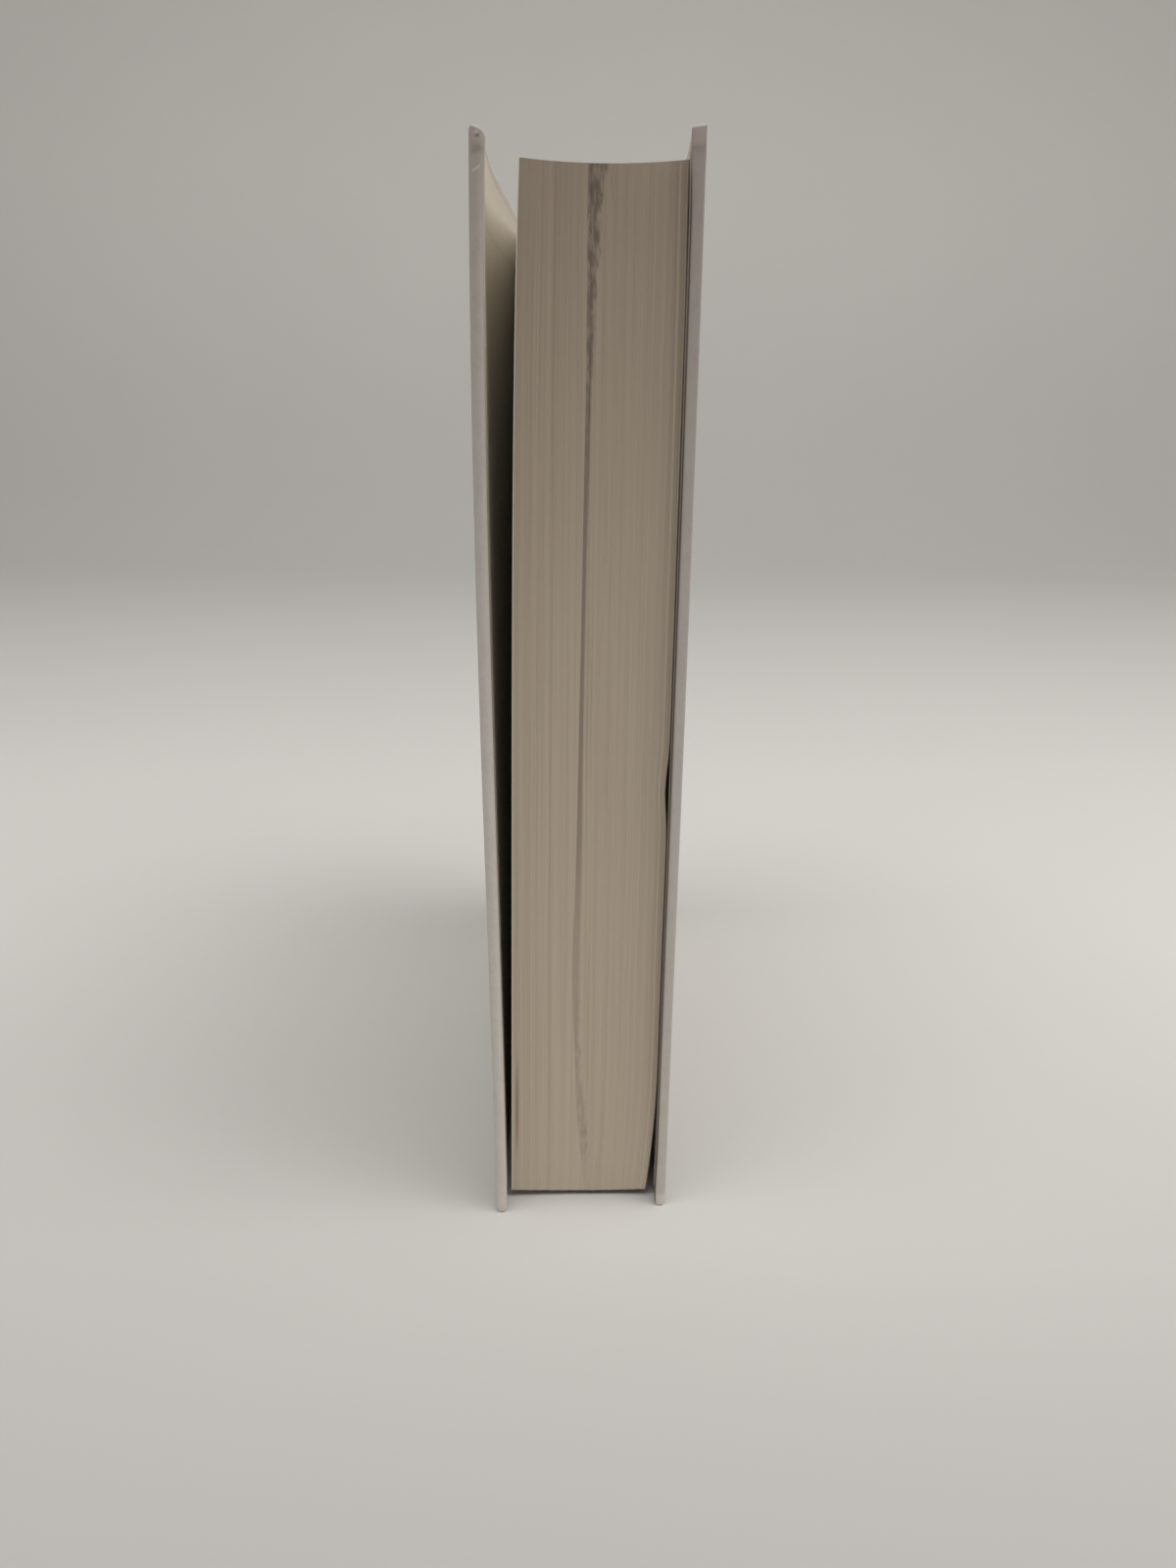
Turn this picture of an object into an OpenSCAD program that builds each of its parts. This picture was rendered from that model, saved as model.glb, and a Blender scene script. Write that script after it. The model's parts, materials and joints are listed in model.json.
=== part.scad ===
// Case-bound hardcover book with a flat spine, standing on the tail edges of its case.
// The pages are swollen at their sewn spine, and lie against the shut back cover. The front
// cover stands a little open, and the first pages have spread towards it at the tail.
// X runs from front cover to back cover, Y from fore edge to spine, Z from tail to head,
// and the origin is the middle of the footprint.

/* [Pages] */
// Height of the pages, tail to head
text_h = 233; // [180:1:300]
// Width of the pages, spine to fore edge
text_w = 155; // [110:1:220]
// Thickness of the pages at the spine
text_t = 34.2; // [16:0.2:60]
// How much thinner the pages are at the fore edge than at their sewn spine
swell = 3.4; // [0:0.2:6]
// Number of folded gatherings in the page block
gatherings = 14; // [8:1:24]
// Gatherings in front of the place where the pages have parted
parted_after = 6; // [2:1:7]
// Depth of the parting at the fore edge
parting_depth = 0.6; // [0.2:0.1:1.5]
// Drop of the fore edge as the pages hang in their case
sag = 1.3; // [0:0.1:1.6]
// Extra drop of the middle pages at the fore edge
droop = 0.7; // [0:0.1:1.2]
// Hollow of the fore edge across the pages
fore_hollow = 0.5; // [0:0.1:3]

/* [Endpapers] */
// Thickness of an endpaper sheet
endpaper_t = 0.2; // [0.1:0.05:0.4]

/* [Covers] */
// Overhang of the covers past the pages at head and tail
square = 3.5; // [3:0.5:6]
// Overhang of the front cover past the fore edge
front_square = 5.5; // [2:0.5:8]
// Overhang of the back cover past the fore edge
back_square = 3.5; // [2:0.5:8]
// Thickness of the cover boards
board_t = 2.3; // [2:0.1:4]
// Thickness of the covering sheet
covering_t = 0.2; // [0.1:0.05:0.3]
// Width of the covering that is turned in over the inner faces
turn_in = 15; // [8:1:25]
// Rounding of the covers' outer edges
outer_edge_r = 0.7; // [0.5:0.1:0.9]
// Rounding of the covers' inner edges
inner_edge_r = 1.2; // [0.5:0.1:1.4]
// How far the front cover stands open, in degrees
front_open = 0.8; // [0.5:0.1:4]

/* [Spine] */
// Thickness of the spine board
spine_board_t = 2.3; // [1:0.1:4]
// Rounding of the spine's two long edges
spine_edge_r = 0.6; // [0.4:0.1:1.2]
// Thickness of the lining glued to the back of the pages
lining_t = 0.4; // [0.2:0.1:0.8]
// Radius of the bead on the headband and tailband
band_r = 0.9; // [0.5:0.1:1.2]
// Width of the tape that holds a band to the spine
band_tape_w = 10; // [6:1:16]

/* [Hidden] */

// Clearances and small sizes
closed_gap = 0.1;       // flyleaf to pastedown with a cover shut
joint_gap = 0.3;        // flyleaf to the bottom of a joint groove
seam_gap = 0.3;         // between the two halves of a groove's covering
hollow_gap = 0.4;       // hollow between the lining and the spine board
ridge_inset = 0.3;      // how far the spine's ridges lie inside the covers' outer faces
fan_gap = 0.6;          // spread pages to the front pastedown, at the tail of the fore edge
gathering_relief = 0.15; // depth of the dip between two gatherings at the fore edge
tail_curl = 1.2;        // how far the last pages curl off the back cover at the tail
band_tape_t = 0.25;     // thickness of a band's tape
lining_margin = 2;      // lining to the tape of each band
overrun = 1;            // how far a cut runs past what it cuts
arc_steps = 6;          // flats in a quarter round
round_fn = 64;          // facets of the drawn circles

// Shares and powers that shape the pages
fan_even_share = 0.66;  // part of the spread that dies away evenly from tail to head
fan_head_power = 6;     // how late the rest of the spread dies away
fan_depth_power = 1.2;  // how the spread grows from spine to fore edge
curl_height_share = 0.16; // part of the height that curls at the tail

// Cells of the pages' lattice, across, in depth and in height
cells_across = 2 * gatherings;
cells_deep = 6;
cells_high = 12;

// Places that follow from the sizes, with x = 0 mid-pages and y = 0 at their spine edge
half_t = text_t / 2 + endpaper_t;
cover_t = board_t + 2 * covering_t;
cover_h = text_h + 2 * square;
outer_x = half_t + closed_gap + endpaper_t + cover_t;
groove_r = outer_x - half_t - joint_gap - covering_t;
groove_out_r = groove_r + covering_t;
spine_y = lining_t + hollow_gap;
hinge_y = spine_y - groove_out_r;
spine_half_w = outer_x - ridge_inset - covering_t;
spine_depth = spine_board_t + covering_t;
front_reach = hinge_y + text_w + front_square;
back_reach = hinge_y + text_w + back_square;
fan = closed_gap + swell + (hinge_y + text_w) * sin(front_open) - fan_gap;
parting_share = parted_after / gatherings;
head_z = square + text_h;

// Middle of the footprint, from the rounded corners of the open front cover
outer_corner = [outer_edge_r, outer_edge_r - front_reach];
inner_corner = [cover_t - inner_edge_r, inner_edge_r - front_reach];
left_x = outer_corner * [cos(front_open), sin(front_open)] - outer_edge_r - outer_x;
near_y = inner_corner * [-sin(front_open), cos(front_open)] - inner_edge_r + hinge_y;
origin_x = (left_x + outer_x) / 2;
origin_y = (near_y + spine_y + spine_depth) / 2;

// Holds a share between nought and one
function unit(t) = min(1, max(0, t));

// Nought at both faces of the pages and one in the middle
function hump(v) = 4 * v * (1 - v);

// Points on an arc about a centre, in steps of a quarter round
function arc(centre, r, from_deg, to_deg) = [
    for (k = [0:arc_steps])
        let (a = from_deg + (to_deg - from_deg) * k / arc_steps)
            centre + r * [cos(a), sin(a)]
];

// How much of the spread is left at a height share u
function fan_at(u) = 1 - fan_even_share * u - (1 - fan_even_share) * pow(u, fan_head_power);

// Set-back of the fore edge at a thickness share v: the hollow, the gatherings and the parting
function fore_dip(v) =
    let (from_parting = abs(v - parting_share) * cells_across)
        fore_hollow * hump(v)
        + gathering_relief * abs(cos(180 * gatherings * v))
        + parting_depth * max(0, 1 - from_parting);

// A point of the pages: w across in mm, s from spine to fore edge, u from tail to head
function page_point(w, s, u) =
    let (
        v = unit((w + text_t / 2) / text_t),
        pressed = swell * s * (1 - v),
        spread = fan * pow(s, fan_depth_power) * fan_at(u) * max(0, 1 - v / parting_share),
        curl = tail_curl * s * pow(v, 2) * pow(max(0, 1 - u / curl_height_share), 2),
        drop = s * (sag + droop * hump(v))
    )
        [w + pressed - spread - curl, -s * (text_w - fore_dip(v)), square + u * text_h - drop];

// Moves the pages' own axes to the middle of the footprint
module placed() {
    translate([-origin_x, -origin_y, 0])
        children();
}

// A stretch of the page block between two places across it, as one bent block
module leaves(w_from, w_to, across) {
    points = [
        for (i = [0:across], j = [0:cells_deep], k = [0:cells_high])
            page_point(w_from + (w_to - w_from) * i / across, j / cells_deep, k / cells_high)
    ];
    function at(i, j, k) = (i * (cells_deep + 1) + j) * (cells_high + 1) + k;
    function split(a, b, c, d, flip) = flip ? [[a, c, b], [a, d, c]] : [[a, b, c], [a, c, d]];
    sides = [
        for (i = [0, across], j = [0:cells_deep - 1], k = [0:cells_high - 1])
            each split(at(i, j, k), at(i, j + 1, k), at(i, j + 1, k + 1), at(i, j, k + 1), i > 0)
    ];
    edges = [
        for (i = [0:across - 1], j = [0, cells_deep], k = [0:cells_high - 1])
            each split(at(i, j, k), at(i + 1, j, k), at(i + 1, j, k + 1), at(i, j, k + 1), j == 0)
    ];
    ends = [
        for (i = [0:across - 1], j = [0:cells_deep - 1], k = [0, cells_high])
            each split(at(i, j, k), at(i + 1, j, k), at(i + 1, j + 1, k), at(i, j + 1, k), k > 0)
    ];
    placed()
        polyhedron(points, concat(sides, edges, ends));
}

// Cover pieces are drawn from their joint: x = 0 on the outer face and y = 0 on the hinge line
module on_front_joint() {
    placed()
        translate([-outer_x, hinge_y, 0])
            rotate([0, 0, -front_open])
                children();
}

module on_back_joint() {
    placed()
        translate([outer_x, hinge_y, 0])
            mirror([1, 0, 0])
                children();
}

// A cover's slab with rounded fore edge, head and tail, drawn in by inset, square at the joint
module cover_slab(reach, inset) {
    outer_r = outer_edge_r - inset;
    inner_r = inner_edge_r - inset;
    inner_x = cover_t - inner_edge_r;
    plan = concat(
        [[cover_t - inset, -groove_out_r], [inset, -groove_out_r]],
        arc([outer_edge_r, outer_edge_r - reach], outer_r, 180, 270),
        arc([inner_x, inner_edge_r - reach], inner_r, 270, 360)
    );
    section = concat(
        arc([outer_edge_r, outer_edge_r], outer_r, 180, 270),
        arc([inner_x, inner_edge_r], inner_r, 270, 360),
        arc([inner_x, cover_h - inner_edge_r], inner_r, 0, 90),
        arc([outer_edge_r, cover_h - outer_edge_r], outer_r, 90, 180)
    );
    intersection() {
        linear_extrude(cover_h)
            polygon(plan);
        rotate([90, 0, 0])
            linear_extrude(reach)
                polygon(section);
    }
}

// The part of a cover's inner face that the turn-ins leave open, drawn in by inset
module turn_in_window(reach, inset, from_x, to_x) {
    edge = turn_in + inset;
    translate([from_x, edge - reach, edge])
        cube([to_x - from_x, reach - edge - groove_out_r, cover_h - 2 * edge]);
}

// The cover's half of the groove: the covering leaves the board's corner and curves to its bottom
module cover_groove() {
    linear_extrude(cover_h)
        difference() {
            translate([0, -groove_out_r])
                square([groove_out_r, groove_out_r - seam_gap]);
            circle(groove_r, $fn = round_fn);
            difference() {
                translate([covering_t, -groove_out_r - overrun])
                    square(groove_out_r + overrun);
                circle(groove_out_r, $fn = round_fn);
            }
        }
}

module cover_board(reach) {
    cover_slab(reach, covering_t);
}

// The covering of one cover: outer face, wrapped edges, turn-ins and its half of the groove
module cover_sheet(reach) {
    difference() {
        cover_slab(reach, 0);
        cover_slab(reach, covering_t);
        turn_in_window(reach, 0, cover_t - covering_t, cover_t + overrun);
    }
    cover_groove();
}

// The endpaper half glued inside a cover: it lies over the turn-ins and sinks into their window
module cover_pastedown(reach, fore_square) {
    sheet_w = reach - fore_square - groove_out_r;
    difference() {
        union() {
            translate([cover_t, fore_square - reach, square])
                cube([endpaper_t, sheet_w, text_h]);
            turn_in_window(reach, 0, cover_t - covering_t, cover_t);
        }
        turn_in_window(reach, endpaper_t, cover_t - covering_t + endpaper_t, cover_t + overrun);
    }
}

// Outline of the case spine in plan, drawn in by inset, from a place in depth to its outer face
function spine_outline(inset, from_y) =
    let (
        side = spine_half_w + covering_t - inset,
        r = spine_edge_r - inset,
        corner_x = spine_half_w + covering_t - spine_edge_r,
        corner_y = spine_y + spine_depth - spine_edge_r
    )
        concat(
            [[-side, from_y], [side, from_y]],
            arc([corner_x, corner_y], r, 0, 90),
            arc([-corner_x, corner_y], r, 90, 180)
        );

// A circle of each joint groove, in plan
module groove_circles(r) {
    for (side = [-1, 1])
        translate([side * outer_x, hinge_y])
            circle(r, $fn = round_fn);
}

// A band at one end of the spine: a bead on the page edges and the tape that holds it
module end_band() {
    bead_y = band_tape_t - band_r;
    translate([-text_t / 2, bead_y, band_r])
        rotate([0, 90, 0])
            cylinder(r = band_r, h = text_t, $fn = round_fn);
    translate([-text_t / 2, 0, -band_tape_w])
        cube([text_t, band_tape_t, band_tape_w + band_r]);
}

module text_block() {
    color("tan")
        leaves(-text_t / 2, text_t / 2, cells_across);
}

module front_flyleaf() {
    color("ivory")
        leaves(-half_t, -text_t / 2, 1);
}

module back_flyleaf() {
    color("ivory")
        leaves(text_t / 2, half_t, 1);
}

module spine_lining() {
    margin = band_tape_w + lining_margin;
    color("wheat")
        placed()
            translate([-half_t, 0, square + margin])
                cube([2 * half_t, lining_t, text_h - 2 * margin]);
}

module headband() {
    color("white")
        placed()
            translate([0, 0, head_z])
                end_band();
}

module tailband() {
    color("white")
        placed()
            translate([0, 0, square])
                mirror([0, 0, 1])
                    end_band();
}

module spine_board() {
    color("darkgray")
        placed()
            translate([0, 0, covering_t])
                linear_extrude(cover_h - 2 * covering_t)
                    polygon(spine_outline(covering_t, spine_y));
}

module spine_covering() {
    color("white")
        placed() {
            difference() {
                linear_extrude(cover_h)
                    difference() {
                        polygon(spine_outline(0, hinge_y));
                        groove_circles(groove_r);
                        difference() {
                            translate([-spine_half_w, hinge_y - overrun])
                                square([2 * spine_half_w, spine_y - hinge_y + overrun]);
                            groove_circles(groove_out_r);
                        }
                    }
                translate([0, 0, covering_t])
                    linear_extrude(cover_h - 2 * covering_t)
                        polygon(spine_outline(covering_t, spine_y));
            }
            for (z = [0, cover_h - turn_in])
                translate([-spine_half_w, spine_y - covering_t, z])
                    cube([2 * spine_half_w, covering_t, turn_in]);
        }
}

module front_board() {
    color("darkgray")
        on_front_joint()
            cover_board(front_reach);
}

module front_covering() {
    color("white")
        on_front_joint()
            cover_sheet(front_reach);
}

module front_pastedown() {
    color("ivory")
        on_front_joint()
            cover_pastedown(front_reach, front_square);
}

module back_board() {
    color("darkgray")
        on_back_joint()
            cover_board(back_reach);
}

module back_covering() {
    color("white")
        on_back_joint()
            cover_sheet(back_reach);
}

module back_pastedown() {
    color("ivory")
        on_back_joint()
            cover_pastedown(back_reach, back_square);
}

text_block();
front_flyleaf();
back_flyleaf();
spine_lining();
headband();
tailband();
spine_board();
spine_covering();
front_board();
front_covering();
front_pastedown();
back_board();
back_covering();
back_pastedown();
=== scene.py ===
"""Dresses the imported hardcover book: leaves, wrapped case, endpapers, bands, floor, light and camera."""
import json
import math
from types import SimpleNamespace

import bmesh
import bpy
import numpy as np
from bpy.props import FloatProperty, FloatVectorProperty, IntProperty, PointerProperty
from bpy.types import NodeSocket, Operator, Panel, PropertyGroup
from mathutils import Matrix, Vector


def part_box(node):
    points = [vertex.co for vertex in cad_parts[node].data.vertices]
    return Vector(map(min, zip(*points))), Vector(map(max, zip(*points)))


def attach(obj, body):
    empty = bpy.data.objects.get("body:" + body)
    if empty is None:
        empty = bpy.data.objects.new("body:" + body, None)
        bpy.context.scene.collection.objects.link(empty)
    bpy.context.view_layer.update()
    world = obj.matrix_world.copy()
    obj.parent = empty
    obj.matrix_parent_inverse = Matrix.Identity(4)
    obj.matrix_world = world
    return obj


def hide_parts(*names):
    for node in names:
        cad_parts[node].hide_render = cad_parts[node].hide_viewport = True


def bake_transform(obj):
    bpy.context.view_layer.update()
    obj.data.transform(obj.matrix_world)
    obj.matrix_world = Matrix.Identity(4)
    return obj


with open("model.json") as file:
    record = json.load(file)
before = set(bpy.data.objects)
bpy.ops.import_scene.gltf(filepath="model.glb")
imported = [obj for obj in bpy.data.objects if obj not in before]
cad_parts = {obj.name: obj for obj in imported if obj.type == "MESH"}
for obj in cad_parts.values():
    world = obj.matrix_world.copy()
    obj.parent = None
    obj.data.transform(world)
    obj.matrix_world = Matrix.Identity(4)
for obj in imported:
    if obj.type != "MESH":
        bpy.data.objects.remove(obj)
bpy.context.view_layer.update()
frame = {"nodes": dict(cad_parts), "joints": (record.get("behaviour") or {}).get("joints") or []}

bl_info = {
    "name": "Hardcover Book",
    "version": (1, 0, 0),
    "blender": (4, 5, 0),
    "location": "3D View > Sidebar > Book",
    "description": "Dresses a packed hardcover book with leaves, a wrapped case, endpapers and bands",
    "category": "Object",
}

MM = 0.001
SEED = 7
PHOTO_LONG_SIDE = 1600  # pixels
PHOTO_FOCAL = 1130      # pixels
SENSOR_LONG_SIDE = 36   # the camera's own unit
FIT_TOLERANCE = 0.05 * MM
RIM_TURN = 0.6  # how far two faces differ in lying level, where their shared edge is crisp

# Shape of the spread pages, in shares of their height, depth and thickness.
# A pair is where an easing starts and over how much it runs.
FAN_EVEN_SHARE = 0.74
FAN_HEAD_POWER = 6
FAN_DEPTH_POWER = 1.2
CURL_HEIGHT_SHARE = 0.17
PARTING_WIDTH_SHARE = 0.35
PARTING_RISE = (0.12, 0.4)
SLIT_HEIGHT_SHARE = 0.468
SLIT_REACH_SHARE = 0.029
LEAN_AT_TAIL = 0.65
LEAN_RISE = (0.2, 0.35)
LEAN_LOST_AT_HEAD = 0.4
LEAN_HEAD_FALL = (0.88, 0.12)
# Where painted shade of the gap starts on the back flyleaf's fore edge, and over how much it runs
GAP_SHADE_DEPTH = (0.985, 0.015)
HEIGHT_LINES = 57  # lines of a page's lattice, tail to head
DEPTH_LINES = 13   # the same, spine to fore edge
LEAF_BUNDLE = 5    # leaves that end alike
LEAF_WOBBLE = 0.6  # how much a leaf's edge waves, in shares of its scatter

# Shape of the covers
DISH_PEAK = 4 / 27  # the highest value that the dish's curve reaches
BOW_POWER = {"front": 3, "back": 1}  # a higher power brings the bow nearer to the fore edge
TAPER_REACH = 9 * MM
TAPER_ENDS = (3 * MM, 12 * MM)
KNOCK_REACH = 10 * MM
RIM_FADE = 0.8 * MM  # how soon the wear of a rim fades inward
RIM_POINTS = 9       # lines on a rounded rim
FOLD_LINES = (0.7, 0.94, 1.06, 1.4)  # lines by a corner fold, in shares of its height
PATCH = 4 * MM       # spacing of the lines between two rims
SPINE_PATCH = 6 * MM
GAP_SHADE_END = 1.4      # where the painted gap shade ends, in shares of its reach
RIM_END = 1.5        # where the fore edge's rounding ends, in shares of its width
# Painted shade of the dark gap between each cover's inner side and the pages: how dark, how far it reaches,
# the lit stretch below the head that it leaves out, and where it rises from the rim
GAP_SHADE = {
    "front": SimpleNamespace(strength=0.8, reach=7.5 * MM, lit_head=75 * MM, rise=(0.5 * MM, 5 * MM)),
    "back": SimpleNamespace(strength=0.92, reach=4 * MM, lit_head=10 * MM, rise=(0.12 * MM, 0.5 * MM)),
}

# The worn fore corners: the head corner is lowered, sloped inward and swollen by a knock
FOLD_STEP = 0.12       # how soon a corner fold ends, in shares of its height
FOLD_RAISE = 0.06 * MM
WORN_CORNERS = {
    "front": SimpleNamespace(
        lowered=0.3 * MM, sloped=1.0 * MM, swollen=0.3 * MM, rounder=0.1, squarer=0.0,
        tail_rounder=0.0, soiled=0.0, pale_fold=0.1
    ),
    "back": SimpleNamespace(
        lowered=-0.45 * MM, sloped=0.4 * MM, swollen=0.05 * MM, rounder=-0.45, squarer=0.5,
        tail_rounder=0.8 * MM, soiled=0.25, pale_fold=1.0
    ),
}
# Marks of plain covering pieces: full painted shade towards the head, and no painted shade of the gap by the
# pages
PLAIN_COVERING = {"rim": 0.0, "fold": 0.0, "soiled": 0.0, "dusty": 1.0, "grime": 0.0}
SPINE_SOIL = 0.2
TURN_IN_STEP = 0.04    # how soon a turn-in ends, in shares of its width
GROOVE_END_POINTS = 7  # points round each end of a groove's sheet, and on each of its fillets
GROOVE_POINTS = 40     # points round a groove, and along it

# The smudge along the parting, from tail to head: its middle and half width across the pages,
# how dark it is and how patchy
SMUDGE_MIDDLE = (
    (0.0, 0.48), (0.03, 0.462), (0.084, 0.43), (0.146, 0.4), (0.263, 0.381), (0.373, 0.391),
    (0.57, 0.402), (0.75, 0.417), (0.88, 0.434), (0.96, 0.452), (1.0, 0.473)
)
SMUDGE_HALF_WIDTH = (
    (0.0, 0.025), (0.084, 0.036), (0.146, 0.02), (0.263, 0.026), (0.373, 0.022), (0.5, 0.016),
    (0.75, 0.016), (0.88, 0.026), (0.96, 0.046), (1.0, 0.066)
)
SMUDGE_STRENGTH = (
    (0.0, 0.06), (0.03, 0.14), (0.084, 0.36), (0.146, 0.35), (0.3, 0.35), (0.45, 0.6),
    (0.75, 0.72), (0.9, 0.78), (1.0, 0.82)
)
SMUDGE_PATCHES = ((0.0, 0.8), (0.15, 0.7), (0.3, 0.12), (0.75, 0.12), (0.86, 0.8), (1.0, 1.0))

# Painted shade that darkens a surface towards the head: its tint, and how strong it is from tail to head
HEAD_SHADE_TINT = (0.7, 0.67, 0.66, 1.0)
HEAD_SHADE_RISE = ((0.0, 0.0), (0.3, 0.0), (0.5, 0.04), (0.7, 0.34), (0.85, 0.62), (1.0, 0.95))

FINISHES = {}


def linear(red, green, blue):
    """A colour written as it looks on a screen, in the linear values that a shader takes."""
    def one(value):
        share = value / 255
        return share / 12.92 if share <= 0.04045 else ((share + 0.055) / 1.055) ** 2.4
    return one(red), one(green), one(blue)


def length(name, description, value):
    """A size that a user can change, written in millimetres."""
    return FloatProperty(
        name=name, description=description, default=value * MM, min=0, unit="LENGTH", precision=5
    )


def angle(name, description, degrees):
    """An angle that a user can change, written in degrees."""
    return FloatProperty(name=name, description=description, default=math.radians(degrees), subtype="ANGLE")


def power(name, description, watts):
    """A lamp's power that a user can change, in watts."""
    return FloatProperty(name=name, description=description, default=watts, min=0, unit="POWER")


def number_of(name, description, count, least):
    """A count that a user can change."""
    return IntProperty(name=name, description=description, default=count, min=least)


def colour(name, description, *value):
    """A colour that a user can change, written as it looks on a screen."""
    return FloatVectorProperty(
        name=name, description=description, default=linear(*value), min=0, max=1, size=3, subtype="COLOR"
    )


class PageSettings(PropertyGroup):
    """Sizes and colours of the pages and endpapers."""

    gatherings: number_of("Gatherings", "Folded gatherings in the page block", 14, 2)
    leaves_each: number_of("Leaves", "Leaves in one gathering", 16, 2)
    parted_after: number_of("Parted After", "Gatherings in front of the parting", 6, 1)
    swell: length("Swell", "How much thinner the pages are at the fore edge than at their sewn spine", 3.4)
    parting_depth: length("Parting Depth", "Depth of the parting at the fore edge", 0.12)
    sag: length("Sag", "Drop of the fore edge as the pages hang in their case", 1.3)
    droop: length("Droop", "Extra drop of the middle pages at the fore edge", 0.7)
    fore_hollow: length("Fore Hollow", "Hollow of the fore edge across the pages", 0.5)
    gathering_relief: length("Gathering Relief", "Dip between two gatherings at the fore edge", 0.06)
    fan_gap: length("Fan Gap", "Room between the spread pages and the front cover", 0.9)
    back_lean: length("Back Lean", "How far the last pages lean towards the bowed back cover", 0.65)
    slit: length("Slit", "Width of the short gap between the last pages and the back cover", 0.7)
    tail_curl: length("Tail Curl", "How far the last pages curl off the back cover", 2.1)
    leaf_scatter: length("Leaf Scatter", "How unevenly single leaves end at the fore edge", 0.025)
    leaf_valley: length("Leaf Valley", "Depth of the dip between two leaves", 0.03)
    paper: colour("Paper", "Cream paper of the pages, seen on its cut edges", 193, 178, 158)
    smudge: colour("Smudge", "Dark handling mark along the parting", 116, 103, 92)
    streak: colour("Streak", "Brown stain near the first pages", 138, 108, 84)
    endpaper: colour("Endpaper", "Paper of the flyleaves and pastedowns", 226, 218, 203)


class CaseSettings(PropertyGroup):
    """Sizes and colours of the covers, the spine and the bands."""

    front_open: angle("Front Open", "How far the front cover stands open", 0.8)
    front_square: length("Front Square", "Overhang of the front cover past the fore edge", 5.5)
    turn_in: length("Turn-in", "Covering turned in over the covers' inner faces", 15)
    front_outer_r: length("Front Outer Rounding", "Rounding of the front cover's outer edges", 1.1)
    back_outer_r: length("Back Outer Rounding", "Rounding of the back cover's outer edges", 0.4)
    inner_edge_r: length("Inner Rounding", "Rounding of the solid covers' inner edges", 1.2)
    front_inner_r: length("Front Inner Rounding", "Rounding of the front cover's inner edges", 1.4)
    back_inner_r: length("Back Inner Rounding", "Rounding of the back cover's inner edges", 0.9)
    front_warp: length("Front Warp", "How far the front cover bows outward", 1.5)
    back_warp: length("Back Warp", "How far the back cover bows outward", 3.1)
    front_dish: length("Front Dish", "How far the middle of the front cover's fore edge bows outward", 1.0)
    front_tuck: length("Front Tuck", "How far the front cover's tail corner leans inward", 0.35)
    back_dish: length("Back Dish", "How far the middle of the back cover's fore edge bows outward", 0.25)
    back_taper: length("Back Taper", "How much thinner the back cover is along its fore edge", 0.26)
    corner_r: length("Corner Rounding", "Rounding of a cover's two fore corners", 0.5)
    joint_edge_r: length("Joint Rounding", "Rounding of a board's edge along its joint", 0.75)
    groove_fillet: length("Groove Fillet", "Rounding where the covering dips into a joint groove", 0.45)
    spine_edge_r: length("Spine Rounding", "Rounding of the spine's edges", 0.6)
    fold_w: length("Corner Fold", "Height of the folded covering at a cover's fore corners", 3.3)
    thread_pitch: length("Thread Pitch", "Distance between two threads round a band", 0.5)
    covering: colour("Covering", "Pale covering sheet of the case", 208, 200, 191)
    soil: colour("Soil", "Grey handling dirt on the case", 150, 141, 132)
    # This colour is painted shade: the dark of the gap between the covers and the pages
    grime: colour("Grime", "Brown dirt on the covers' inner edges, by the pages", 66, 54, 45)
    board: colour("Board", "Grey board inside the case", 136, 130, 120)
    lining: colour("Lining", "Lining glued to the spine", 210, 203, 188)
    thread: colour("Thread", "Cotton of the headband and tailband", 224, 219, 208)


class StageSettings(PropertyGroup):
    """Camera, floor and light."""

    camera_place: FloatVectorProperty(
        name="Camera Place", description="Where the camera stands", subtype="TRANSLATION",
        default=(-4.705 * MM, -307.405 * MM, 196.18 * MM)
    )
    pitch: angle("Pitch", "Camera tilt below level", 19.893)
    yaw: angle("Yaw", "Camera turn to the left", -1.424)
    roll: angle("Roll", "Camera lean", 0.517)
    floor: colour("Floor", "Pale floor and backdrop", 216, 213, 208)
    surround: colour("Surround", "What is seen beyond the floor and backdrop", 172, 169, 164)
    ambient: FloatProperty(
        name="Ambient", description="Strength of the even light from all round", default=0.075, min=0
    )
    key_power: power("Key Power", "Power of the light from the right", 1.6)
    sky_power: power("Sky Power", "Power of the wide light above", 34)
    card_power: power("Card Power", "Power of the low front card", 0.055)


def joint_place(name):
    """Where a joint's axis stands, in metres."""
    joint = next(j for j in frame["joints"] if j["name"] == name)
    return joint["pos_m"]


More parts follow.
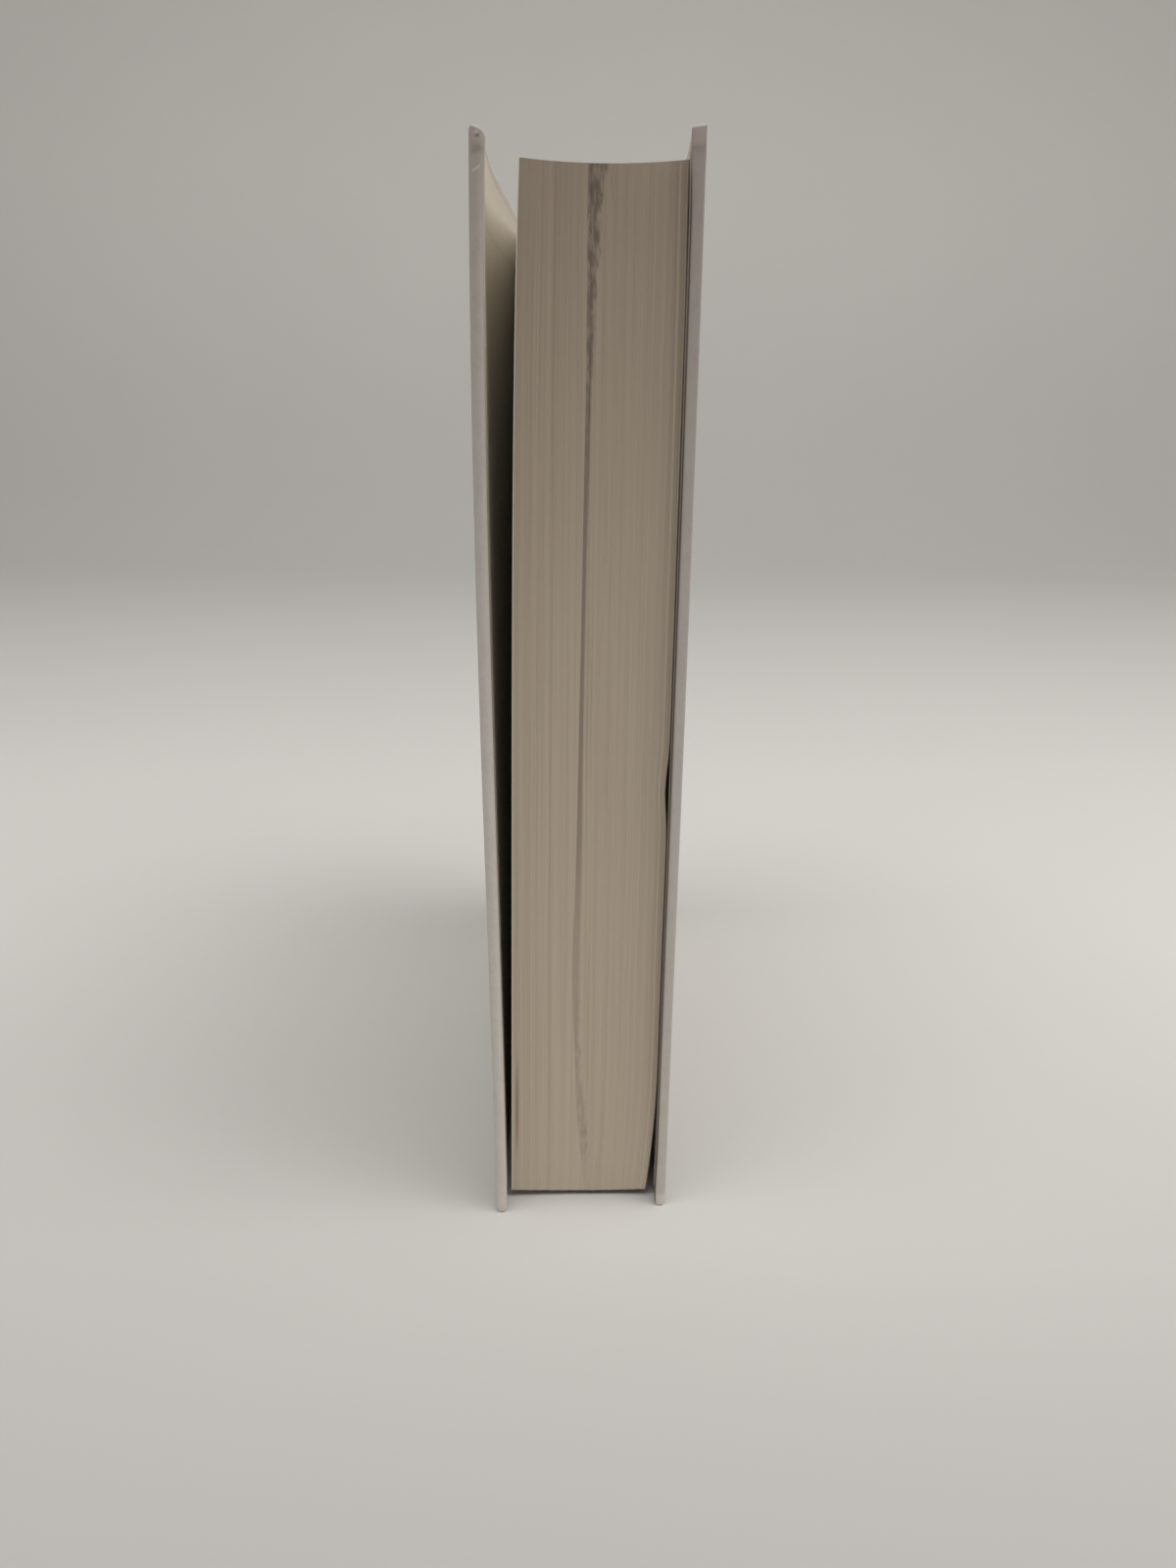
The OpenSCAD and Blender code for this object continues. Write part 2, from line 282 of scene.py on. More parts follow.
def measure_book():
    """Reads the book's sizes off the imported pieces, in metres, with y = 0 at the pages' spine edge."""
    scene = bpy.context.scene
    pages, case = scene.book_pages, scene.book_case
    front_pin, back_pin = joint_place("front_joint"), joint_place("back_joint")
    lining_low, lining_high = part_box("spine_lining")
    band_low, band_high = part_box("headband")
    paste_low, paste_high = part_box("back_pastedown")
    board_low, board_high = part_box("back_board")
    spine_low, spine_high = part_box("spine_covering")
    book = SimpleNamespace(pages=pages, case=case)
    book.mid_x = (front_pin[0] + back_pin[0]) / 2
    book.pages_y = lining_low.y
    book.outer_x = (back_pin[0] - front_pin[0]) / 2
    book.hinge_y = back_pin[1] - book.pages_y
    book.half_t = (lining_high.x - lining_low.x) / 2
    book.text_t = band_high.x - band_low.x
    book.endpaper_t = book.half_t - book.text_t / 2
    book.square = paste_low.z
    book.text_h = paste_high.z - paste_low.z
    book.text_w = book.pages_y - paste_low.y
    book.head_z = paste_high.z
    book.covering_t = board_low.z
    book.cover_h = board_high.z + board_low.z
    book.cover_t = board_high.x - board_low.x + 2 * book.covering_t
    book.groove_out_r = back_pin[1] - board_high.y
    book.groove_r = book.groove_out_r - book.covering_t
    book.back_reach = back_pin[1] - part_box("back_covering")[0].y
    book.front_reach = book.hinge_y + book.text_w + case.front_square
    book.closed_gap = book.outer_x - book.half_t - book.endpaper_t - book.cover_t
    book.spine_half_w = (spine_high.x - spine_low.x) / 2
    book.spine_face_y = spine_high.y - book.pages_y
    book.spine_inner_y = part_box("spine_board")[0].y - book.pages_y
    book.band_r = (band_high.y - band_low.y) / 2
    book.band_tape_t = band_high.y - book.pages_y
    book.band_tape_w = band_high.z - band_low.z - 2 * book.band_r
    book.fan = (book.closed_gap + pages.swell + (book.hinge_y + book.text_w) * math.sin(case.front_open)
                - pages.fan_gap)
    book.parting_share = pages.parted_after / pages.gatherings
    inner_corner = (book.cover_t - case.inner_edge_r, case.inner_edge_r - book.front_reach)
    near_y = (inner_corner[1] * math.cos(case.front_open) - inner_corner[0] * math.sin(case.front_open)
              - case.inner_edge_r + front_pin[1])
    if abs(near_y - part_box("front_covering")[0].y) > FIT_TOLERANCE:
        raise ValueError("the front cover's settings no longer fit the packed front_covering")
    return book


def smooth_step(value):
    """Eases a share from nought to one."""
    share = np.clip(value, 0, 1)
    return share * share * (3 - 2 * share)


def ramp(value, start, width):
    """Eases from nought to one over a width that begins at a start."""
    return smooth_step((value - start) / width)


def on_block(book, x, y, z):
    """Places on the page block or the spine, in the row's frame."""
    return np.stack(np.broadcast_arrays(x + book.mid_x, y + book.pages_y, z), -1)


def on_joint(book, side, turn, x, y, z):
    """Places drawn from a joint, x inward from the cover's outer face, with the cover turned outward."""
    turned_x = x * np.cos(turn) + y * np.sin(turn)
    turned_y = y * np.cos(turn) - x * np.sin(turn)
    across = turned_x - book.outer_x if side == "front" else book.outer_x - turned_x
    return on_block(book, across, turned_y + book.hinge_y, z)


def cover_warp(book, side, reach, inward, height):
    """How far a cover bows outward, at a distance inward from its fore edge and a height above its tail."""
    case = book.case
    warp, dish, tuck = (
        (case.front_warp, case.front_dish, case.front_tuck) if side == "front"
        else (case.back_warp, case.back_dish, 0)
    )
    share = np.clip(inward / (reach - book.groove_out_r), 0, 1)
    up = np.clip(height / book.cover_h, 0, 1)
    fore_bow = dish * up ** 2 * (1 - up) / DISH_PEAK - tuck * (1 - up)
    bend = BOW_POWER[side]
    peak = bend ** bend / (1 + bend) ** (1 + bend)
    return warp * share * (1 - share) ** bend / peak + (1 - share) ** 2 * fore_bow


def cover_taper(book, side, inward, height):
    """How much of a cover's thickness is missing on its inner side, near the middle of its fore edge."""
    if side == "front":
        return np.zeros_like(inward)
    from_end = np.minimum(height, book.cover_h - height)
    return book.case.back_taper * smooth_step(1 - inward / TAPER_REACH) * ramp(from_end, *TAPER_ENDS)


def cover_gap_shade(book, side, inward, height):
    """How much painted shade darkens a cover's inner side by the pages' fore edge, less towards the head
    where light reaches in.
    """
    grime = GAP_SHADE[side]
    below_head = smooth_step((book.cover_h - height) / grime.lit_head)
    return grime.strength * smooth_step(GAP_SHADE_END - inward / grime.reach) * below_head


def cover_turn(book, side):
    """How far a cover stands open at rest."""
    return book.case.front_open if side == "front" else 0.0


class Skin:
    """Collects grids of points and joins them where they meet, as one closed surface."""

    def __init__(self):
        self.points, self.faces, self.marks, self.count = [], [], {}, 0

    def add(self, grid, **marks):
        """Adds one grid of points, with a named number for each point that its material reads."""
        rows, columns, _ = grid.shape
        at = self.count + np.arange(rows * columns).reshape(rows, columns)
        self.faces.append(np.stack((at[:-1, :-1], at[1:, :-1], at[1:, 1:], at[:-1, 1:]), -1).reshape(-1, 4))
        self.points.append(grid.reshape(-1, 3))
        for name, values in marks.items():
            self.marks.setdefault(name, []).append(np.broadcast_to(values, (rows, columns)).ravel())
        self.count += rows * columns

    def piece(self, name, material, sharp_angle=math.radians(50)):
        """Makes the object, with its faces turned outward."""
        mesh = bpy.data.meshes.new(name)
        mesh.from_pydata(np.concatenate(self.points).tolist(), [], np.concatenate(self.faces).tolist())
        for mark, values in self.marks.items():
            layer = mesh.attributes.new(mark, "FLOAT", "POINT")
            layer.data.foreach_set("value", np.concatenate(values).astype(np.float32))
        work = bmesh.new()
        work.from_mesh(mesh)
        bmesh.ops.remove_doubles(work, verts=work.verts, dist=1e-7)
        bmesh.ops.recalc_face_normals(work, faces=work.faces)
        for face in work.faces:
            face.smooth = True
        for edge in work.edges:
            first, second = edge.link_faces[0].normal, edge.link_faces[-1].normal
            rim = abs(abs(first.z) - abs(second.z)) > RIM_TURN
            edge.smooth = not rim and first.dot(second) > math.cos(sharp_angle)
        work.to_mesh(mesh)
        work.free()
        mesh.materials.append(material)
        made = bpy.data.objects.new(name, mesh)
        bpy.context.scene.collection.objects.link(made)
        return made


def page_places(book, w, s, u):
    """Places on the pages: w across in metres, s from spine to fore edge, u from tail to head."""
    pages = book.pages
    v = np.clip(w / book.text_t + 0.5, 0, 1)
    hump = 4 * v * (1 - v)
    from_parting = np.abs(v - book.parting_share) * 2 * pages.gatherings / PARTING_WIDTH_SHARE
    gathered = np.abs(np.cos(math.pi * pages.gatherings * v))
    dip = (pages.fore_hollow * hump + pages.gathering_relief * gathered
           + pages.parting_depth * np.maximum(0, 1 - from_parting) * ramp(u, *PARTING_RISE))
    fan_left = 1 - FAN_EVEN_SHARE * u - (1 - FAN_EVEN_SHARE) * u ** FAN_HEAD_POWER
    spread = book.fan * s ** FAN_DEPTH_POWER * fan_left * np.maximum(0, 1 - v / book.parting_share)
    curl = pages.tail_curl * s * v ** 2 * np.maximum(0, 1 - u / CURL_HEIGHT_SHARE) ** 2
    drop = s * (pages.sag + pages.droop * hump)
    slit = pages.slit * s ** 2 * v ** 8 * np.exp(-((u - SLIT_HEIGHT_SHARE) / SLIT_REACH_SHARE) ** 2)
    lean_share = (LEAN_AT_TAIL + (1 - LEAN_AT_TAIL) * ramp(u, *LEAN_RISE)
                  - LEAN_LOST_AT_HEAD * ramp(u, *LEAN_HEAD_FALL))
    pressed = pages.swell * s * (1 - v) + pages.back_lean * lean_share * s ** 2 * v ** 4 - slit
    return w + pressed - spread - curl, -s * (book.text_w - dip), book.square + u * book.text_h - drop


def bent_block(book, w_lines, s_lines, u_lines, setback=0, shortfall=0, gap_shaded=0):
    """The skin of a stretch of pages: setback and painted shade at the fore edge, a shortfall at head and
    tail.
    """
    skin = Skin()
    setback = np.broadcast_to(setback, (len(w_lines), len(u_lines)))
    shortfall = np.broadcast_to(shortfall, len(w_lines))
    fold_over = book.text_w / book.text_h

    def add(i, j, k):
        w, s, u = w_lines[i], s_lines[j], u_lines[k]
        x, y, z = page_places(book, w, s, u)
        end = np.where(u == 1, 1, 0) - np.where(u == 0, 1, 0)
        grid = on_block(book, x, y + s * setback[i, k], z - end * shortfall[i])
        # Painted shade of the gap, on the fore edge
        grime = gap_shaded * ramp(s, *GAP_SHADE_DEPTH)
        skin.add(grid, across=w / book.text_t + 0.5, along=u + end * (1 - s) * fold_over, grime=grime)

    across, deep, high = (np.arange(len(lines)) for lines in (w_lines, s_lines, u_lines))
    for j in (0, deep[-1]):
        add(across[:, None], np.full((1, 1), j), high[None, :])
    for k in (0, high[-1]):
        add(across[:, None], deep[None, :], np.full((1, 1), k))
    for i in (0, across[-1]):
        add(np.full((1, 1), i), deep[:, None], high[None, :])
    return skin


def rim_lines(size, rim, fold, step):
    """Lines of a lattice along one side: dense on the rounded rims and by the fold, and even between."""
    rounded = rim * (1 - np.cos(np.linspace(0, math.pi / 2, RIM_POINTS)))
    near = np.concatenate((rounded, fold * np.array(FOLD_LINES)))
    inner_end = size - near[-1]
    middle = np.linspace(near[-1], inner_end, max(2, round((inner_end - near[-1]) / step)))[1:]
    far = (size - near)[::-1][1:]
    return np.concatenate((near, middle, far))


def quarter_round(inside, radius):
    """How far a rounded edge falls away, at a distance inside its rim."""
    left = radius - np.minimum(inside, radius)
    return radius - np.sqrt(np.maximum(0, radius ** 2 - left ** 2))


def rounded_lattice(b_lines, c_lines, corner_r, both):
    """A lattice with round corners, and each point's distance inside the rim."""
    b, c = np.meshgrid(b_lines, c_lines, indexing="ij")
    near_b = np.minimum(b, b_lines[-1] - b) if both else b
    near_c = np.minimum(c, c_lines[-1] - c)
    q, p = np.clip(1 - near_b / corner_r, 0, 1), np.clip(1 - near_c / corner_r, 0, 1)
    round_q, round_p = q * np.sqrt(1 - p * p / 2), p * np.sqrt(1 - q * q / 2)
    in_corner = corner_r * (1 - np.hypot(round_q, round_p))
    inside = np.where((q > 0) & (p > 0), in_corner, np.minimum(near_b, near_c))
    b_side = np.where(near_b < b, -1, 1)
    c_side = np.where(near_c < c, -1, 1)
    round_b = b + b_side * corner_r * (q - round_q)
    round_c = c + c_side * corner_r * (p - round_p)
    return round_b, round_c, np.maximum(inside, 0)


def close_rim(skin, outer, inner, marks):
    """Joins the borders of an outer and an inner grid with a wall."""
    full = {name: np.broadcast_to(value, outer.shape[:2]) for name, value in marks.items()}
    for side in (np.s_[0, :], np.s_[-1, :], np.s_[:, 0], np.s_[:, -1]):
        wall = np.stack((outer[side], inner[side]))
        skin.add(wall, **{name: values[side][None, :] for name, values in full.items()})


def add_sheet(skin, grids, **marks):
    """Adds the two faces of a sheet and the wall round them."""
    for grid in grids:
        skin.add(grid, **marks)
    close_rim(skin, *grids, marks)


def blend_over_joint(piece):
    """Bakes a strip's placement into its mesh; the strip's turn from the block to a cover, between two
    distances from the joint, is drawn in its shape.
    """
    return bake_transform(piece)


class Graph:
    """Adds shader nodes to a tree: each call makes one node and gives the socket that it puts out."""

    def __init__(self, tree):
        self.tree = tree

    def join(self, value, socket):
        """Links a socket to another, or sets its plain value."""
        if isinstance(value, NodeSocket):
            self.tree.links.new(value, socket)
        else:
            socket.default_value = value

    def node(self, kind, inputs=(), output=0, **settings):
        """Makes a node with its settings and inputs."""
        made = self.tree.nodes.new(kind)
        for key, value in settings.items():
            setattr(made, key, value)
        for key, value in dict(inputs).items():
            self.join(value, made.inputs[key])
        return made.outputs[output]

    def math(self, operation, *values):
        """One sum."""
        return self.node("ShaderNodeMath", enumerate(values), operation=operation)

    def times(self, first, second):
        """The product of two values."""
        return self.math("MULTIPLY", first, second)

    def vector(self, operation, *values, output="Vector"):
        """One sum with vectors."""
        return self.node("ShaderNodeVectorMath", enumerate(values), output, operation=operation)

    def mix(self, factor, first, second, blend_type="MIX"):
        """Mixes two colours."""
        inputs = {0: factor, 6: first, 7: second}
        return self.node("ShaderNodeMix", inputs, 2, data_type="RGBA", blend_type=blend_type)

    def step(self, value, low, high, to_low=0.0, to_high=1.0):
        """A soft step from one value to another."""
        limits = {"Value": value, "From Min": low, "From Max": high, "To Min": to_low, "To Max": to_high}
        return self.node("ShaderNodeMapRange", limits, interpolation_type="SMOOTHSTEP")

    def noise(self, vector, scale, detail=2.0, roughness=0.5):
        """Cloudy noise from nought to one."""
        inputs = {"Vector": vector, "Scale": scale, "Detail": detail, "Roughness": roughness}
        return self.node("ShaderNodeTexNoise", inputs)

    def curve(self, value, places):
        """A curve through a few given places."""
        made = self.tree.nodes.new("ShaderNodeFloatCurve")
        line = made.mapping.curves[0]
        line.points[0].location = places[0]
        line.points[-1].location = places[-1]
        for place in places[1:-1]:
            line.points.new(*place)
        made.mapping.update()
        self.join(value, made.inputs["Value"])
        return made.outputs[0]

    def mark(self, name):
        """A number that the mesh carries."""
        settings = {"attribute_name": name, "attribute_type": "GEOMETRY"}
        return self.node("ShaderNodeAttribute", output="Fac", **settings)

    def place(self):
        """Where a point is on the object at rest, in metres."""
        return self.node("ShaderNodeTexCoord", output="Object")

    def bump(self, height, strength, distance):
        """A normal from a height."""
        inputs = {"Height": height, "Strength": strength, "Distance": distance}
        return self.node("ShaderNodeBump", inputs, "Normal")

    def effect(self, name, output, **inputs):
        """One output of a shared effect."""
        return self.node("ShaderNodeGroup", inputs, output, node_tree=bpy.data.node_groups[name])


def make_effect(name, vectors, values, outputs, build):
    """Builds a shared effect once, as a node group with named sockets."""
    tree = bpy.data.node_groups.new(name, "ShaderNodeTree")
    for kind, labels in (("NodeSocketVector", vectors), ("NodeSocketFloat", values)):
        for label in labels:
            tree.interface.new_socket(label, in_out="INPUT", socket_type=kind)
    for label in outputs:
        tree.interface.new_socket(label, in_out="OUTPUT", socket_type="NodeSocketFloat")
    entry, leave = tree.nodes.new("NodeGroupInput"), tree.nodes.new("NodeGroupOutput")
    for label, socket in build(Graph(tree), entry.outputs).items():
        tree.links.new(socket, leave.inputs[label])


def build_fibre(graph, given):
    """Paper fibres: short soft flecks over a fine tooth."""
    fine = graph.noise(given["Vector"], given["Scale"], detail=4.0, roughness=0.6)
    long_way = graph.vector("MULTIPLY", given["Vector"], (1.0, 1.0, 0.25))
    flecks = graph.noise(long_way, graph.times(given["Scale"], 0.4), detail=2.0)
    tone = graph.math("ADD", graph.times(fine, 0.5), graph.times(flecks, 0.5))
    return {"Tone": tone, "Height": fine}


def build_soil(graph, given):
    """Patchy handling dirt: large soft patches broken up by smaller ones."""
    large = graph.noise(given["Vector"], given["Scale"], detail=3.0)
    finer = graph.times(given["Scale"], 6.0)
    small = graph.noise(given["Vector"], finer, detail=3.0, roughness=0.6)
    patch = graph.times(graph.step(large, 0.35, 0.7), graph.step(small, 0.25, 0.75))
    return {"Mask": graph.times(patch, given["Amount"])}


def build_scuff(graph, given):
    """A short mark along a line between two places."""
    along = graph.vector("SUBTRACT", given["End"], given["Start"])
    reach = graph.vector("SUBTRACT", given["Vector"], given["Start"])
    share = graph.math("DIVIDE", graph.vector("DOT_PRODUCT", reach, along, output="Value"),
                       graph.vector("DOT_PRODUCT", along, along, output="Value"))
    held = graph.math("MINIMUM", graph.math("MAXIMUM", share, 0.0), 1.0)
    scaled = graph.node("ShaderNodeVectorMath", {0: along, "Scale": held}, "Vector", operation="SCALE")
    away = graph.vector("DISTANCE", reach, scaled, output="Value")
    return {"Mask": graph.step(away, 0.0, given["Width"], 1.0, 0.0)}


def build_head_shade(graph, given):
    """Painted shade: none at the tail, and darker towards the head."""
    return {"Mask": graph.curve(given["Height"], HEAD_SHADE_RISE)}


def make_effects():
    """Builds the effects that the materials share."""
    make_effect("paper_fibre", ("Vector",), ("Scale",), ("Tone", "Height"), build_fibre)
    make_effect("handling_soil", ("Vector",), ("Scale", "Amount"), ("Mask",), build_soil)
    make_effect("scuff_line", ("Vector", "Start", "End"), ("Width",), ("Mask",), build_scuff)
    make_effect("settled_dust", (), ("Height",), ("Mask",), build_head_shade)


def new_material(name, roughness):
    """A material with one shader, and the graph that adds nodes to it."""
    material = bpy.data.materials.new(name)
    material.use_nodes = True
    tree = material.node_tree
    tree.nodes.clear()
    output = tree.nodes.new("ShaderNodeOutputMaterial")
    shader = tree.nodes.new("ShaderNodeBsdfPrincipled")
    shader.inputs["Roughness"].default_value = roughness
    tree.links.new(shader.outputs["BSDF"], output.inputs["Surface"])
    return material, Graph(tree), shader.inputs


def shade(tone, share):
    """A colour with all its parts scaled alike."""
    return *(part * share for part in tone), 1.0


def shade_towards_head(graph, tone, height_share):
    """A tone darkened towards the head by painted shade."""
    head_shade_mask = graph.effect("settled_dust", "Mask", Height=height_share)
    return graph.mix(head_shade_mask, tone, HEAD_SHADE_TINT, "MULTIPLY")


def smudge_mask(graph, across, along, lines):
    """Where the pages are smudged along the parting: frayed on one side, and blotchy near tail and head."""
    middle = graph.curve(along, SMUDGE_MIDDLE)
    half_width = graph.curve(along, SMUDGE_HALF_WIDTH)
    strength = graph.curve(along, SMUDGE_STRENGTH)
    patchy = graph.curve(along, SMUDGE_PATCHES)
    uneven = graph.math("SUBTRACT", lines(28.0, 70.0, 3.0), 0.5)
    frayed = graph.times(uneven, graph.times(patchy, 3.2))
    beside = graph.math("DIVIDE", graph.math("SUBTRACT", across, middle), half_width)
    ragged = graph.step(graph.math("ADD", beside, frayed), 0.2, 1.3, 1.0, 0.0)
    smear = graph.times(graph.step(beside, -1.1, -0.75), ragged)
    bare = graph.step(lines(38.0, 84.0, 3.0), 0.36, 0.6, 1.0, 0.0)
    blotches = graph.math("SUBTRACT", 1.0, graph.times(bare, graph.times(patchy, 0.6)))
    on_fore_edge = graph.times(graph.step(along, -0.02, 0.0), graph.step(along, 1.0, 1.03, 1.0, 0.0))
    return graph.times(graph.times(smear, graph.times(strength, blotches)), on_fore_edge)


def page_edge_material(pages):
    """Cut edges of cream leaves: fine lines, darker folds, a smudge by the parting and a brown streak."""
    material, graph, shader = new_material("page_edges", 0.85)
    across, along = graph.mark("across"), graph.mark("along")

    def lines(across_scale, along_scale, detail=2.0):
        spot = graph.node("ShaderNodeCombineXYZ", {
            "X": graph.times(across, across_scale), "Y": graph.times(along, along_scale)
        })
        return graph.noise(spot, 1.0, detail)

    leaves = graph.step(lines(260.0, 2.0), 0.3, 0.7)
    bundles = graph.step(lines(38.0, 1.6), 0.32, 0.68)
    clouds = graph.step(lines(7.0, 4.0, 3.0), 0.35, 0.75)
    turns = graph.times(across, math.pi * pages.gatherings)
    folds = graph.step(graph.math("ABSOLUTE", graph.math("COSINE", turns)), 0.9, 1.0)
    tone = shade(pages.paper, 1.03)
    for pattern, strength, share in (
        (leaves, 0.32, 0.9), (bundles, 0.32, 0.86), (clouds, 0.16, 0.88), (folds, 0.1, 0.6)
    ):
        tone = graph.mix(graph.times(pattern, strength), tone, shade(pages.paper, share))
    tone = graph.mix(smudge_mask(graph, across, along, lines), tone, (*pages.smudge, 1.0))
    stained = graph.times(graph.step(across, 0.012, 0.024), graph.step(across, 0.03, 0.045, 1.0, 0.0))
    stained = graph.times(stained, graph.step(along, 0.03, 0.09))
    stained = graph.times(stained, graph.step(along, 0.12, 0.19, 0.6, 0.0))
    tone = graph.mix(stained, tone, (*pages.streak, 1.0))
    # Painted shade, darker towards the head and a little less towards the back cover's side of the pages
    head_shade_height = graph.math("SUBTRACT", along, graph.times(across, 0.15))
    graph.join(shade_towards_head(graph, tone, head_shade_height), shader["Base Color"])
    graph.join(graph.step(bundles, 0.0, 1.0, 0.8, 0.9), shader["Roughness"])
    graph.join(graph.bump(leaves, 0.35, 0.05 * MM), shader["Normal"])
    return material


def endpaper_material(pages):
    """Uncoated endpaper: a soft tooth with faint fibres and a little handling dirt."""
    material, graph, shader = new_material("endpaper_sheet", 0.8)
    place = graph.place()
    fibre = graph.effect("paper_fibre", "Tone", Vector=place, Scale=1800.0)
    soil = graph.effect("handling_soil", "Mask", Vector=place, Scale=22.0, Amount=0.18)
    dull, bright = shade(pages.endpaper, 0.97), shade(pages.endpaper, 1.03)
    tone = graph.mix(graph.step(fibre, 0.35, 0.65), dull, bright)
    tone = graph.mix(soil, tone, shade(pages.endpaper, 0.72))
    # Painted shade of the gap by the pages' fore edge darkens the paper
    graph.join(graph.mix(graph.mark("grime"), tone, shade(pages.streak, 0.28)), shader["Base Color"])
    graph.join(graph.step(fibre, 0.3, 0.7, 0.74, 0.86), shader["Roughness"])
    height = graph.effect("paper_fibre", "Height", Vector=place, Scale=3200.0)
    graph.join(graph.bump(height, 0.25, 0.03 * MM), shader["Normal"])
    return material


def covering_material(book):
    """Pale satin covering: fine grain, soil by the rims, paler folded corners, a nick and a scratch."""
    case = book.case
    material, graph, shader = new_material("covering_sheet", 0.7)
    place, rim, fold = graph.place(), graph.mark("rim"), graph.mark("fold")
    grain = graph.effect("paper_fibre", "Tone", Vector=place, Scale=2400.0)
    soil = graph.effect("handling_soil", "Mask", Vector=place, Scale=30.0, Amount=0.18)
    rubbed = graph.effect("handling_soil", "Mask", Vector=place, Scale=260.0, Amount=1.0)
    tone = graph.mix(graph.step(grain, 0.35, 0.65), shade(case.covering, 0.975), shade(case.covering, 1.02))
    tone = graph.mix(soil, tone, shade(case.covering, 0.86))
    worn = graph.times(rim, graph.step(rubbed, 0.0, 0.6, 0.08, 0.2))
    tone = graph.mix(worn, tone, (*case.soil, 1.0))
    tone = graph.mix(graph.times(rim, graph.mark("soiled")), tone, (*case.soil, 1.0))
    tone = graph.mix(graph.times(fold, 0.6), tone, shade(case.covering, 1.05))

    def fore_edge_place(inward, height):
        spot = on_joint(book, "front", case.front_open, inward * MM, -book.front_reach, height * MM)
        return tuple(float(part) for part in spot)

    def scuff(start, end, width):
        ends = {"Start": fore_edge_place(*start), "End": fore_edge_place(*end)}
        return graph.effect("scuff_line", "Mask", Vector=place, Width=width * MM, **ends)

    nick = scuff((1.1, 237.9), (1.4, 238.1), 0.55)
    hole = scuff((1.25, 237.6), (1.5, 237.6), 0.6)
    scratch = scuff((0.4, 232.1), (2.0, 233.1), 0.36)
    bruise = scuff((0.8, 235.2), (1.9, 235.6), 1.1)
    # Painted shade that darkens the covering towards the head
    height = graph.node("ShaderNodeSeparateXYZ", {0: place}, "Z")
    dusty = graph.times(graph.math("DIVIDE", height, book.cover_h), graph.mark("dusty"))
    tone = shade_towards_head(graph, tone, dusty)
    # Painted shade of the gap between this cover and the pages
    tone = graph.mix(graph.mark("grime"), tone, (*case.grime, 1.0))
    for mark, strength, tint in (
        (bruise, 0.35, shade(case.soil, 0.7)), (nick, 0.85, shade(case.covering, 1.1)),
        (hole, 0.75, shade(case.soil, 0.45)), (scratch, 0.6, shade(case.covering, 1.05)),
    ):
        tone = graph.mix(graph.times(mark, strength), tone, tint)
    graph.join(tone, shader["Base Color"])
    graph.join(graph.step(grain, 0.3, 0.7, 0.62, 0.76), shader["Roughness"])
    dents = graph.math("SUBTRACT", graph.times(grain, 0.2), graph.math("MAXIMUM", hole, scratch))
    graph.join(graph.bump(dents, 0.4, 0.12 * MM), shader["Normal"])
    return material


def board_material(case):
    """Grey pulp board with coarse flecks."""
    material, graph, shader = new_material("grey_board", 0.9)
    place = graph.place()
    fibre = graph.effect("paper_fibre", "Tone", Vector=place, Scale=900.0)
    fleck = graph.step(graph.noise(place, 2200.0, 3.0), 0.62, 0.7)
    tone = graph.mix(graph.step(fibre, 0.3, 0.7), shade(case.board, 0.85), shade(case.board, 1.12))
    tone = graph.mix(graph.times(fleck, 0.5), tone, shade(case.board, 0.5))
    graph.join(tone, shader["Base Color"])
    graph.join(graph.bump(fibre, 0.5, 0.08 * MM), shader["Normal"])
    return material


def woven_material(name, cloth, pitch, glue):
    """Woven cotton: threads over and under each other, at one pitch, with some glue soaked in."""
    material, graph, shader = new_material(name, 0.85)
    place = graph.place()
    turns = graph.vector("MULTIPLY", place, (math.tau / pitch,) * 3)
    sideways = graph.node("ShaderNodeSeparateXYZ", {0: turns}, "X")
    upward = sideways.node.outputs["Z"]
    weave = graph.times(graph.math("SINE", sideways), graph.math("SINE", upward))
    height = graph.step(weave, -0.8, 0.8)
    soaked = graph.effect("handling_soil", "Mask", Vector=place, Scale=90.0, Amount=glue)
    tone = graph.mix(height, shade(cloth, 0.72), shade(cloth, 1.04))
    graph.join(graph.mix(soaked, tone, shade(cloth, 0.78)), shader["Base Color"])
    graph.join(graph.bump(height, 0.6, 0.1 * MM), shader["Normal"])
    return material


def thread_material(case):
    """Twisted cotton thread of the bands."""
    material, graph, shader = new_material("band_thread", 0.7)
    place = graph.place()
    twist = graph.noise(graph.vector("MULTIPLY", place, (1.0, 4.0, 4.0)), 1500.0, 3.0)
    tone = graph.mix(graph.step(twist, 0.3, 0.7), shade(case.thread, 0.86), shade(case.thread, 1.03))
    graph.join(tone, shader["Base Color"])
    graph.join(graph.bump(twist, 0.4, 0.05 * MM), shader["Normal"])
    return material


def shared_finish(build, settings):
    """A finish that several pieces share, built when it is first asked for."""
    if build not in FINISHES:
        FINISHES[build] = build(settings)
    return FINISHES[build]


